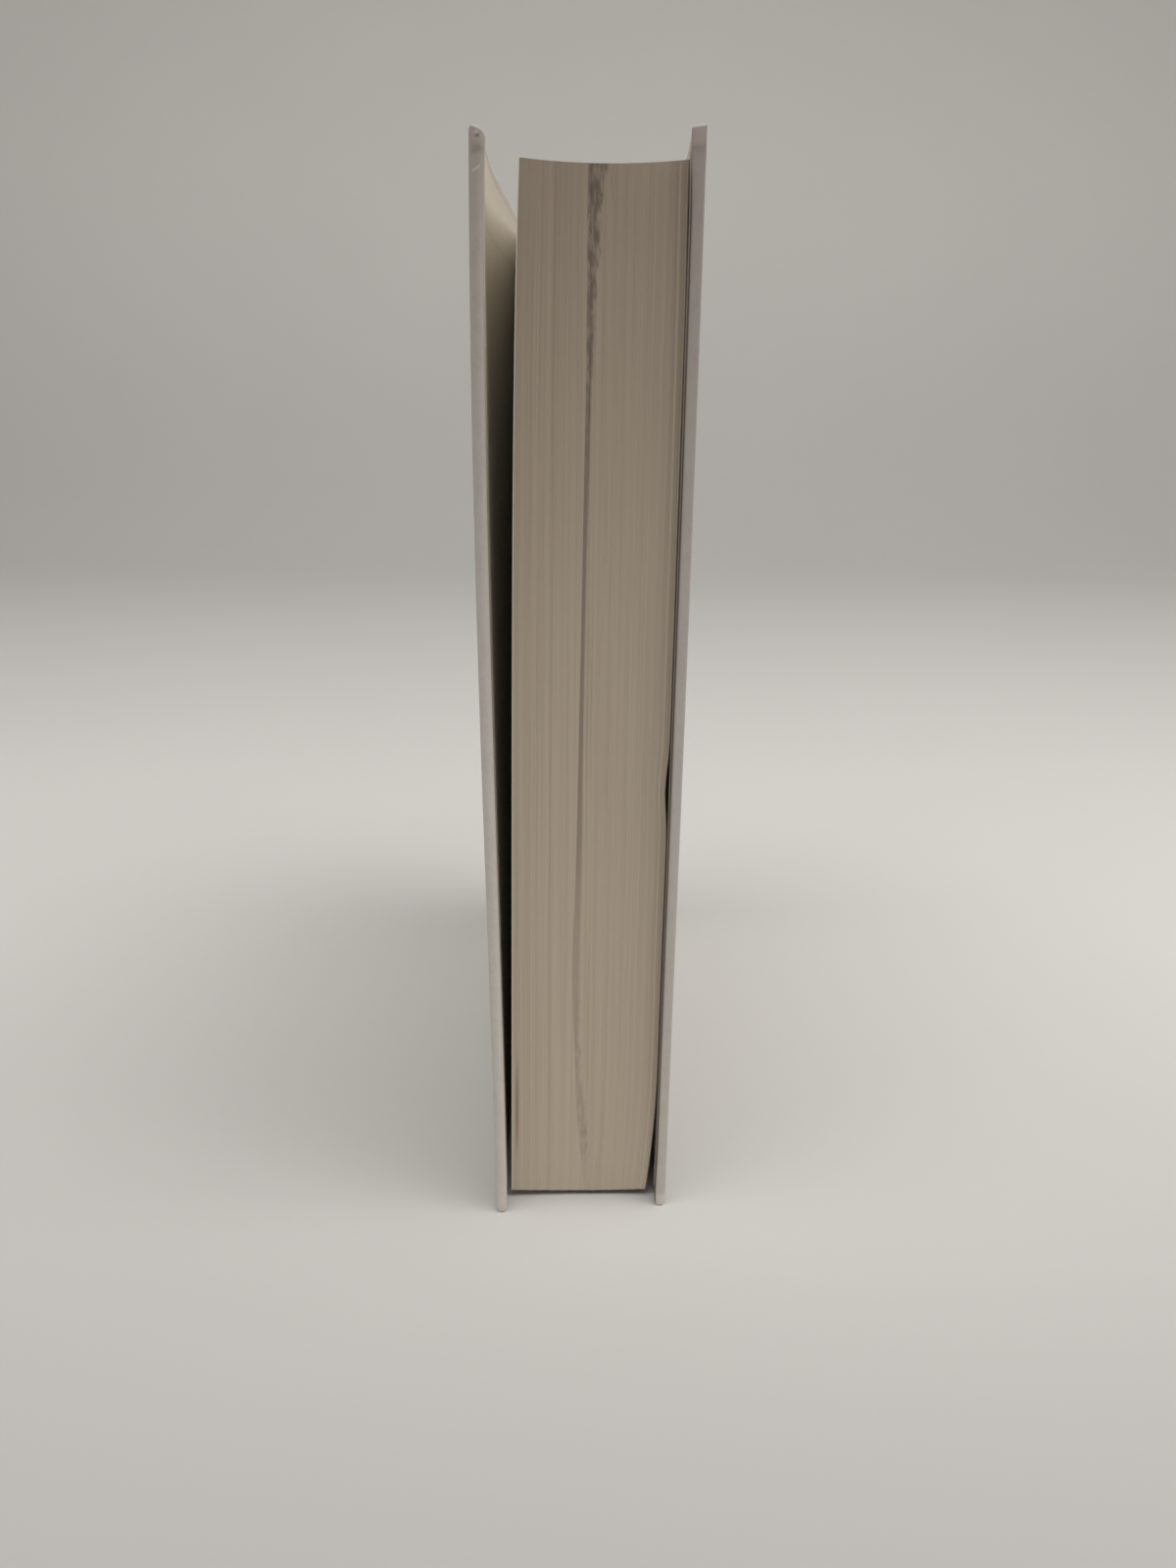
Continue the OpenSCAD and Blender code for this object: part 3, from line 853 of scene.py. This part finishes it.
class BOOK_OT_page_block(Operator):
    """Builds the leaves, each with its own cut edge."""

    bl_idname = "book.page_block"
    bl_label = "Page Block"

    def execute(self, context):
        book = measure_book()
        pages = book.pages
        leaves = pages.gatherings * pages.leaves_each
        columns = np.arange(2 * leaves + 1)
        u_lines = np.linspace(0, 1, HEIGHT_LINES)
        draw = np.random.default_rng(SEED)
        single = draw.normal(0, pages.leaf_scatter, leaves + 1)
        bundle = draw.normal(0, pages.leaf_scatter, leaves // LEAF_BUNDLE + 1)
        bundle = np.repeat(bundle, LEAF_BUNDLE)[:leaves + 1]
        phase = draw.uniform(0, math.tau, leaves + 1)
        waves = 1 + draw.integers(1, 4, leaves + 1)
        swing = np.sin(np.outer(waves, u_lines) * math.tau + phase[:, None])
        wobble = LEAF_WOBBLE * pages.leaf_scatter * swing
        leaf = columns // 2
        valley = np.where(columns % 2 == 0, pages.leaf_valley, 0)
        even = np.abs(single) + bundle + 2 * pages.leaf_scatter + valley[0]
        setback = np.maximum(even[leaf][:, None] + wobble[leaf], 0) + valley[:, None]
        setback[[0, -1]] = 0
        shortfall = np.abs(draw.normal(0, pages.leaf_scatter / 2, leaves + 1))[leaf] + valley / 2
        w_lines = (columns / columns[-1] - 0.5) * book.text_t
        s_lines = np.linspace(0, 1, DEPTH_LINES)
        skin = bent_block(book, w_lines, s_lines, u_lines, setback, shortfall)
        piece = skin.piece("page_block", page_edge_material(pages), math.radians(75))
        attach(piece, "book_block")
        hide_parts("text_block")
        return {"FINISHED"}


class BOOK_OT_flyleaves(Operator):
    """Builds the two flyleaves, each lying on its own side of the pages."""

    bl_idname = "book.flyleaves"
    bl_label = "Flyleaves"

    def execute(self, context):
        book = measure_book()
        glue_gap = 0.02 * MM
        u_lines = np.linspace(0, 1, HEIGHT_LINES)
        s_lines = np.append(np.linspace(0, GAP_SHADE_DEPTH[0], 2 * DEPTH_LINES - 1), (0.993, 1.0))
        # The back flyleaf's fore edge takes painted shade of the gap
        for name, side, gap_shaded in (("front_flyleaf", -1, 0.0), ("back_flyleaf", 1, 0.8)):
            w_lines = side * np.array((book.text_t / 2 + glue_gap, book.half_t))
            skin = bent_block(book, np.sort(w_lines), s_lines, u_lines, gap_shaded=gap_shaded)
            piece = skin.piece(f"{name}_sheet", shared_finish(endpaper_material, book.pages))
            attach(piece, "book_block")
            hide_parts(name)
        return {"FINISHED"}


class BOOK_OT_covers(Operator):
    """Builds the two covers, each a wrapped board with folded corners and a knocked head corner."""

    bl_idname = "book.covers"
    bl_label = "Covers"

    def execute(self, context):
        book = measure_book()
        case = book.case
        self.cover(book, "front", book.front_reach, case.front_outer_r, case.front_inner_r)
        self.cover(book, "back", book.back_reach, case.back_outer_r, case.back_inner_r)
        return {"FINISHED"}

    def cover(self, book, side, reach, outer_r, inner_r):
        """One cover and the board in it."""
        covering = shared_finish(covering_material, book)
        board = shared_finish(board_material, book.case)
        for name, node, inset, material, slot in (
            (f"{side}_case", f"{side}_covering", 0, covering, "covering"),
            (f"{side}_core", f"{side}_board", book.covering_t, board, "board"),
        ):
            skin = self.slab(book, side, reach, inset, outer_r - inset, inner_r - inset)
            piece = skin.piece(name, material)
            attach(piece, f"{side}_cover")
            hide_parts(node)

    def slab(self, book, side, reach, inset, outer_r, inner_r):
        """The skin of a cover, or of the board inside it, drawn in by inset."""
        case, worn = book.case, WORN_CORNERS[side]
        b_lines = rim_lines(reach - book.groove_out_r - 1.5 * inset, inner_r, case.fold_w, PATCH)
        c_lines = rim_lines(book.cover_h - 2 * inset, inner_r, case.fold_w, PATCH)
        b, c, inside = rounded_lattice(b_lines, c_lines, case.corner_r - inset, both=False)
        from_joint = b_lines[-1] - b
        b, c = b + inset, c + inset
        from_head = book.cover_h - c
        knock = smooth_step(1 - np.hypot(b, from_head) / KNOCK_REACH)
        tail = worn.tail_rounder * smooth_step(1 - np.hypot(b, c) / KNOCK_REACH)
        by_fore_edge = smooth_step(RIM_END - b / (2 * inner_r))
        fold = smooth_step((case.fold_w - np.minimum(c, from_head)) / (FOLD_STEP * case.fold_w) + 0.5)
        fold = fold * by_fore_edge
        joint_drop = quarter_round(from_joint, case.joint_edge_r - inset)
        outer_drop = quarter_round(inside, outer_r * (1 - worn.squarer * knock) + tail)
        inner_drop = quarter_round(inside, inner_r * (1 + worn.rounder * knock) + tail / 3)
        outer_x = inset + np.maximum(outer_drop, joint_drop)
        inner_x = book.cover_t - inset - inner_drop + worn.swollen * knock - cover_taper(book, side, b, c)
        warp = cover_warp(book, side, reach, b, c)
        # Painted shade of the gap by the pages, on the cover's inner side
        grime = cover_gap_shade(book, side, b, c) * ramp(b, *GAP_SHADE[side].rise)
        marks = {"rim": np.exp(-inside / RIM_FADE), "fold": worn.pale_fold * fold, "soiled": worn.soiled}
        skin = Skin()
        grids = []
        # The outer face takes the full painted shade towards the head; the inner face takes it only by the
        # fore edge, together with the painted shade of the gap by the pages
        for x, dusty, gap_shaded in ((outer_x, 1.0, 0.0), (inner_x, by_fore_edge, grime)):
            height = c - knock * (worn.lowered + worn.sloped * x / book.cover_t)
            y = b - reach - FOLD_RAISE * fold * np.exp(-inside / inner_r)
            grids.append(on_joint(book, side, cover_turn(book, side), x - warp, y, height))
            skin.add(grids[-1], **marks, dusty=dusty, grime=gap_shaded)
        close_rim(skin, *grids, {**marks, "dusty": 1.0, "grime": 0.0})
        return skin


class BOOK_OT_grooves(Operator):
    """Builds the covering that dips into each joint groove, drawn turning from the spine to its cover as the
    cover stands.
    """

    bl_idname = "book.grooves"
    bl_label = "Joint Grooves"

    def execute(self, context):
        book = measure_book()
        for side in ("front", "back"):
            self.groove(book, side)
        return {"FINISHED"}

    def path(self, book):
        """The groove in section, from the cover's outer face to the spine's ridge, with its normals."""
        case = book.case
        r, fillet = book.groove_r, case.groove_fillet
        ridge_x = book.outer_x - book.spine_half_w
        overlap, proud = 1.1 * MM, 0.02 * MM
        cover_centre = np.array((fillet, -math.sqrt((r + fillet) ** 2 - fillet ** 2)))
        ridge_centre = np.array((ridge_x + fillet, math.sqrt((r + fillet) ** 2 - (ridge_x + fillet) ** 2)))
        points, normals = [], []

        def arc(centre, radius, first, last, count, outward):
            for turn in np.linspace(first, last, count):
                way = np.array((math.cos(turn), math.sin(turn)))
                points.append(centre + radius * way)
                normals.append(outward * way)

        cover_meet = math.atan2(cover_centre[1], cover_centre[0])
        ridge_meet = math.atan2(ridge_centre[1], ridge_centre[0])
        arc(cover_centre + (0, -overlap), fillet, math.pi, math.pi, 1, 1)
        arc(cover_centre, fillet, math.pi, cover_meet + math.pi, GROOVE_END_POINTS, 1)
        arc(np.zeros(2), r, cover_meet, ridge_meet, GROOVE_POINTS, -1)
        arc(ridge_centre, fillet, ridge_meet + math.pi, math.pi, GROOVE_END_POINTS, 1)
        arc(ridge_centre + (0, overlap), fillet, math.pi, math.pi, 1, 1)
        return np.array(points) + proud * np.array(normals), np.array(normals)

    def groove(self, book, side):
        """One groove: a bent sheet with rounded ends at head and tail."""
        points, normals = self.path(book)
        r = book.groove_r
        weight = smooth_step((r - points[:, 1]) / (2 * r))
        turn = weight * cover_turn(book, side)
        end_round = 0.5 * book.covering_t
        angles = np.linspace(-math.pi / 2, math.pi / 2, GROOVE_END_POINTS)
        low_end = end_round * (1 - np.cos(angles))
        sunk = np.concatenate((end_round * (1 + np.sin(angles)), end_round * (1 - np.sin(angles))))
        middle = np.linspace(book.square, book.head_z, GROOVE_POINTS)
        loop_z = np.concatenate((low_end[::-1], middle, book.cover_h - low_end, middle[::-1]))
        low_in, high_in = sunk[GROOVE_END_POINTS:], sunk[:GROOVE_END_POINTS]
        inner_in = np.full(len(middle), 2 * end_round)
        loop_in = np.concatenate((low_in, np.zeros(len(middle)), high_in, inner_in))
        loop_z = np.append(loop_z, loop_z[0])
        loop_in = np.append(loop_in, loop_in[0])
        x = points[:, 0, None] - normals[:, 0, None] * loop_in
        y = points[:, 1, None] - normals[:, 1, None] * loop_in
        grid = on_joint(book, side, turn[:, None], x, y, np.broadcast_to(loop_z, x.shape))
        skin = Skin()
        skin.add(grid, **PLAIN_COVERING)
        for end in (0, -1):
            count = len(middle) + GROOVE_END_POINTS
            rows = np.stack((grid[end, :count], grid[end, count - 1:-1][::-1][:count]))
            skin.add(rows, **PLAIN_COVERING)
        piece = skin.piece(f"{side}_groove", shared_finish(covering_material, book))
        blend_over_joint(piece)


class BOOK_OT_spine_case(Operator):
    """Builds the flat spine of the case, with its ridges and its turned-in ends."""

    bl_idname = "book.spine_case"
    bl_label = "Spine"

    def execute(self, context):
        book = measure_book()
        case = book.case
        inner_r = 0.3 * MM
        b_lines = rim_lines(2 * book.spine_half_w, case.spine_edge_r, 2 * case.spine_edge_r, PATCH)
        c_lines = rim_lines(book.cover_h, case.spine_edge_r, case.fold_w, SPINE_PATCH)
        turn_in_lines = case.turn_in * np.array((0.98, 1.02))
        c_lines = np.unique(np.concatenate((c_lines, turn_in_lines, book.cover_h - turn_in_lines)))
        b, c, inside = rounded_lattice(b_lines, c_lines, case.spine_edge_r, both=True)
        from_end = np.minimum(c, book.cover_h - c)
        turned_in = smooth_step((case.turn_in - from_end) / (TURN_IN_STEP * case.turn_in) + 0.5)
        outer_y = book.spine_face_y - quarter_round(inside, case.spine_edge_r)
        inner_y = book.spine_inner_y + quarter_round(inside, inner_r) - book.covering_t * turned_in
        skin = Skin()
        grids = [on_block(book, b - book.spine_half_w, y, c) for y in (outer_y, inner_y)]
        add_sheet(skin, grids, **{**PLAIN_COVERING, "rim": np.exp(-inside / RIM_FADE), "soiled": SPINE_SOIL})
        piece = skin.piece("spine_case", shared_finish(covering_material, book))
        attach(piece, "book_block")
        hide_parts("spine_covering")
        return {"FINISHED"}


class BOOK_OT_pastedowns(Operator):
    """Builds the pastedowns, with the edges of the turn-ins showing through them."""

    bl_idname = "book.pastedowns"
    bl_label = "Pastedowns"

    def execute(self, context):
        book = measure_book()
        back_square = book.back_reach - book.hinge_y - book.text_w
        self.pastedown(book, "front", book.front_reach, book.case.front_square)
        self.pastedown(book, "back", book.back_reach, back_square)
        return {"FINISHED"}

    def pastedown(self, book, side, reach, fore_square):
        """One pastedown: it sinks inside the turn-ins and rises a little over their mitres."""
        turn_in = book.case.turn_in
        sink, mitre_rise, bed = 0.07 * MM, 0.05 * MM, 0.12 * MM
        step = np.array((0.96, 0.98, 1.0, 1.02, 1.04, 1.06)) * turn_in
        margin = np.array((0, 0.3, 0.8, 1.5, 2.4, 3.4)) * MM
        b_lines = np.concatenate((fore_square + margin, np.linspace(0.55, 0.9, 6) * turn_in, step,
                                  np.linspace(1.3 * turn_in, reach - book.groove_out_r, 24)))
        low = np.concatenate(([book.square], np.linspace(0.4, 0.9, 6) * turn_in, step))
        middle = np.linspace(1.3 * turn_in, book.cover_h - 1.3 * turn_in, 52)
        c_lines = np.concatenate((low, middle, book.cover_h - low[::-1]))
        b, c = np.meshgrid(b_lines, c_lines, indexing="ij")
        near_c = np.minimum(c, book.cover_h - c)
        inside = ramp(np.minimum(b, near_c) / turn_in, 0.97, 0.08)
        mitre = np.exp(-((b - near_c) / (0.08 * turn_in)) ** 2) * (1 - inside)
        top_x = book.cover_t + book.endpaper_t - sink * inside + mitre_rise * mitre * (near_c < turn_in)
        taper = cover_taper(book, side, b, c)
        warp = cover_warp(book, side, reach, b, c)
        skin = Skin()
        grids = [
            on_joint(book, side, cover_turn(book, side), x - warp - taper, b - reach, c)
            for x in (top_x, np.full_like(top_x, book.cover_t - bed))
        ]
        # Painted shade of the gap by the pages, on the pastedown
        add_sheet(skin, grids, grime=cover_gap_shade(book, side, b, c))
        piece = skin.piece(f"{side}_pastedown_sheet", shared_finish(endpaper_material, book.pages))
        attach(piece, f"{side}_cover")
        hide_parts(f"{side}_pastedown")


class BOOK_OT_endpaper_joints(Operator):
    """Builds the fold of each endpaper, from its flyleaf to its pastedown."""

    bl_idname = "book.endpaper_joints"
    bl_label = "Endpaper Folds"

    def execute(self, context):
        book = measure_book()
        sheet_t, spine_tab, cover_tab = 0.08 * MM, 1.6 * MM, 0.6 * MM
        spine_end, cover_end = 1.2 * MM, -book.groove_r
        x_middle = book.outer_x - book.half_t - book.closed_gap
        y_lines = np.linspace(spine_tab, -book.groove_out_r - cover_tab, GROOVE_POINTS)
        z_lines = np.linspace(book.square, book.head_z, 12)
        for side in ("front", "back"):
            weight = smooth_step((spine_end - y_lines) / (spine_end - cover_end))
            turn = (weight * cover_turn(book, side))[:, None]
            skin = Skin()
            grids = [
                on_joint(book, side, turn, x_middle + offset, y_lines[:, None], z_lines[None, :])
                for offset in (-sheet_t / 2, sheet_t / 2)
            ]
            add_sheet(skin, grids)
            piece = skin.piece(f"{side}_endpaper_fold", shared_finish(endpaper_material, book.pages))
            blend_over_joint(piece)
        return {"FINISHED"}


class BOOK_OT_bands(Operator):
    """Builds the headband and the tailband: a thread-wrapped bead on a tape."""

    bl_idname = "book.bands"
    bl_label = "Bands"

    def execute(self, context):
        book = measure_book()
        for name, base_z, way in (("headband", book.head_z, 1), ("tailband", book.square, -1)):
            self.band(book, name, base_z, way)
        return {"FINISHED"}

    def band(self, book, name, base_z, way):
        """One band, drawn from the end of the pages, away from them in way."""
        r = book.band_r
        wraps = round(book.text_t / book.case.thread_pitch)
        points_per_wrap, points_round, waist, lift = 8, 21, 0.12, 0.02 * MM
        along = np.linspace(0, 1, points_per_wrap * wraps + 1)[:, None]
        swell = 1 - waist * (1 - np.abs(np.sin(math.pi * wraps * along)))
        turn = np.linspace(0, math.tau, points_round)[None, :]
        y = book.band_tape_t - r + r * swell * np.cos(turn)
        z = base_z + way * (r + r * swell * np.sin(turn))
        x = (along - 0.5) * book.text_t + 0 * turn
        skin = Skin()
        skin.add(on_block(book, x, y, z))
        for end in (0, -1):
            middle = on_block(book, x[end, 0], book.band_tape_t - r, base_z + way * r)
            ring = on_block(book, x[end], y[end], z[end])[None]
            skin.add(np.concatenate((ring, np.broadcast_to(middle, ring.shape))))
        b_lines = np.linspace(-0.5, 0.5, 24) * book.text_t
        b, c = np.meshgrid(b_lines, np.linspace(-book.band_tape_w, r, 10), indexing="ij")
        tape = [on_block(book, b, y, base_z + way * c) for y in (book.band_tape_t, lift)]
        add_sheet(skin, tape)
        piece = skin.piece(f"{name}_threads", shared_finish(thread_material, book.case))
        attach(piece, "book_block")
        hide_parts(name)


class BOOK_OT_spine_inside(Operator):
    """Gives the spine board and the spine lining their own finishes."""

    bl_idname = "book.spine_inside"
    bl_label = "Spine Board and Lining"

    def execute(self, context):
        case = measure_book().case
        gauze_pitch, glue_share = 0.9 * MM, 0.6
        self.finish("spine_board", shared_finish(board_material, case))
        self.finish("spine_lining", woven_material("spine_gauze", case.lining, gauze_pitch, glue_share))
        return {"FINISHED"}

    def finish(self, name, material):
        """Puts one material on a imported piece."""
        slots = frame["nodes"][name].data.materials
        slots.clear()
        slots.append(material)


class BOOK_OT_stage(Operator):
    """Builds the floor with its curved backdrop, the light and the camera."""

    bl_idname = "book.stage"
    bl_label = "Stage"

    def execute(self, context):
        stage = context.scene.book_stage
        self.floor(stage)
        self.light(context.scene, stage)
        self.camera(context.scene, stage)
        context.scene.view_settings.view_transform = "Standard"
        return {"FINISHED"}

    def floor(self, stage):
        """A floor that curves up into a backdrop, with painted shade on the floor towards the front and
        painted light up the backdrop.
        """
        material, graph, shader = new_material("floor_paper", 0.9)
        half_w, front_y, back_y, bend, top = 2.0, -2.0, 1.4, 0.5, 2.2
        near_y, far_y = -0.28, 0.1
        white, front_shade_share, backdrop_light_share = (1.0, 1.0, 1.0), 0.57, 1.25
        place = graph.place()
        tooth = graph.noise(place, 6.0, 2.0)
        tone = graph.mix(tooth, shade(stage.floor, 0.985), shade(stage.floor, 1.015))
        # Painted shade: the floor darkens towards the camera
        depth = graph.node("ShaderNodeSeparateXYZ", {0: place}, "Y")
        front_shade = graph.step(depth, near_y, far_y, 1.0, 0.0)
        tone = graph.mix(front_shade, tone, shade(white, front_shade_share), "MULTIPLY")
        # Painted light: the backdrop grows paler as it rises
        height = graph.node("ShaderNodeSeparateXYZ", {0: place}, "Z")
        upward = graph.step(height, 0.0, bend)
        graph.join(graph.mix(upward, tone, shade(white, backdrop_light_share), "MULTIPLY"), shader["Base Color"])
        angles = np.linspace(0, math.pi / 2, 13)
        y = np.concatenate(([front_y], back_y - bend + bend * np.sin(angles), [back_y]))
        z = np.concatenate(([0], bend - bend * np.cos(angles), [top]))
        x = np.array((-half_w, half_w))
        skin = Skin()
        skin.add(np.stack(np.broadcast_arrays(x[:, None], y[None, :], z[None, :]), -1))
        skin.piece("floor_and_backdrop", material)

    def light(self, scene, stage):
        """Even light from all round, a soft key on the right, a wide sky above and a low card in front."""
        world = bpy.data.worlds.new("studio_air")
        world.use_nodes = True
        graph = Graph(world.node_tree)
        ray = world.node_tree.nodes.new("ShaderNodeLightPath").outputs
        seen = graph.math("MAXIMUM", ray["Is Glossy Ray"], ray["Is Transmission Ray"])
        seen = graph.math("MAXIMUM", ray["Is Camera Ray"], seen)
        glow = graph.mix(seen, shade((1.0, 0.99, 0.97), stage.ambient), (*stage.surround, 1.0))
        graph.join(glow, world.node_tree.nodes["Background"].inputs["Color"])
        scene.world = world
        self.lamp(scene, "soft_key", stage.key_power, (0.6, 0.6), (0.5, -0.05, 0.95), (0, 0, 0.1))
        self.lamp(scene, "wide_sky", stage.sky_power, (3.2, 0.9), (0.2, -0.42, 1.5), (0.2, -0.42, 0))
        self.lamp(scene, "front_card", stage.card_power, (0.4, 0.06), (0.1, -0.46, 0.05), (0, -0.08, 0.05),
                  spread=math.radians(70))

    def lamp(self, scene, name, power, size, place, target, spread=math.pi):
        """One soft rectangular light that faces a target and isn't seen itself."""
        lamp = bpy.data.lights.new(name, "AREA")
        lamp.shape = "RECTANGLE"
        lamp.size, lamp.size_y = size
        lamp.energy = power
        lamp.spread = spread
        made = bpy.data.objects.new(name, lamp)
        made.location = place
        made.rotation_euler = (Vector(target) - Vector(place)).to_track_quat("-Z", "Y").to_euler()
        made.visible_camera = False
        scene.collection.objects.link(made)

    def camera(self, scene, stage):
        """A camera where the photograph was taken from."""
        right = np.array((math.cos(stage.yaw), math.sin(stage.yaw), 0))
        level = np.array((-math.sin(stage.yaw), math.cos(stage.yaw), 0))
        ahead = level * math.cos(stage.pitch) - np.array((0, 0, math.sin(stage.pitch)))
        down = np.cross(ahead, right)
        lean_right = right * math.cos(stage.roll) - down * math.sin(stage.roll)
        lean_down = right * math.sin(stage.roll) + down * math.cos(stage.roll)
        data = bpy.data.cameras.new("photo_camera")
        data.lens = PHOTO_FOCAL / PHOTO_LONG_SIDE * SENSOR_LONG_SIDE
        data.clip_start = 10 * MM
        camera = bpy.data.objects.new("photo_camera", data)
        turn = Matrix(np.stack((lean_right, -lean_down, -ahead), 1).tolist())
        camera.matrix_world = Matrix.Translation(stage.camera_place) @ turn.to_4x4()
        scene.collection.objects.link(camera)
        scene.camera = camera


BUILD_STEPS = (
    BOOK_OT_page_block, BOOK_OT_flyleaves, BOOK_OT_covers, BOOK_OT_grooves, BOOK_OT_spine_case,
    BOOK_OT_pastedowns, BOOK_OT_endpaper_joints, BOOK_OT_bands, BOOK_OT_spine_inside, BOOK_OT_stage,
)


class BOOK_PT_sidebar(Panel):
    """Lists the book's sizes, colours and building steps."""

    bl_idname = "BOOK_PT_sidebar"
    bl_label = "Hardcover Book"
    bl_space_type = "VIEW_3D"
    bl_region_type = "UI"
    bl_category = "Book"

    def draw(self, context):
        for group in (context.scene.book_pages, context.scene.book_case, context.scene.book_stage):
            box = self.layout.box()
            for name in group.__annotations__:
                box.prop(group, name)
        for step in BUILD_STEPS:
            self.layout.operator(step.bl_idname)


GROUPS = {"book_pages": PageSettings, "book_case": CaseSettings, "book_stage": StageSettings}
CLASSES = (*GROUPS.values(), *BUILD_STEPS, BOOK_PT_sidebar)


def register():
    """Registers the classes and puts the settings on the scene."""
    for item in CLASSES:
        bpy.utils.register_class(item)
    for name, group in GROUPS.items():
        setattr(bpy.types.Scene, name, PointerProperty(type=group))


def unregister():
    """Takes the settings off the scene and unregisters the classes."""
    for name in GROUPS:
        delattr(bpy.types.Scene, name)
    for item in reversed(CLASSES):
        bpy.utils.unregister_class(item)


def main():
    """Builds the whole book and its stage."""
    register()
    make_effects()
    bpy.ops.book.page_block()
    bpy.ops.book.flyleaves()
    bpy.ops.book.covers()
    bpy.ops.book.grooves()
    bpy.ops.book.spine_case()
    bpy.ops.book.pastedowns()
    bpy.ops.book.endpaper_joints()
    bpy.ops.book.bands()
    bpy.ops.book.spine_inside()
    bpy.ops.book.stage()


if __name__ == "__main__":
    main()
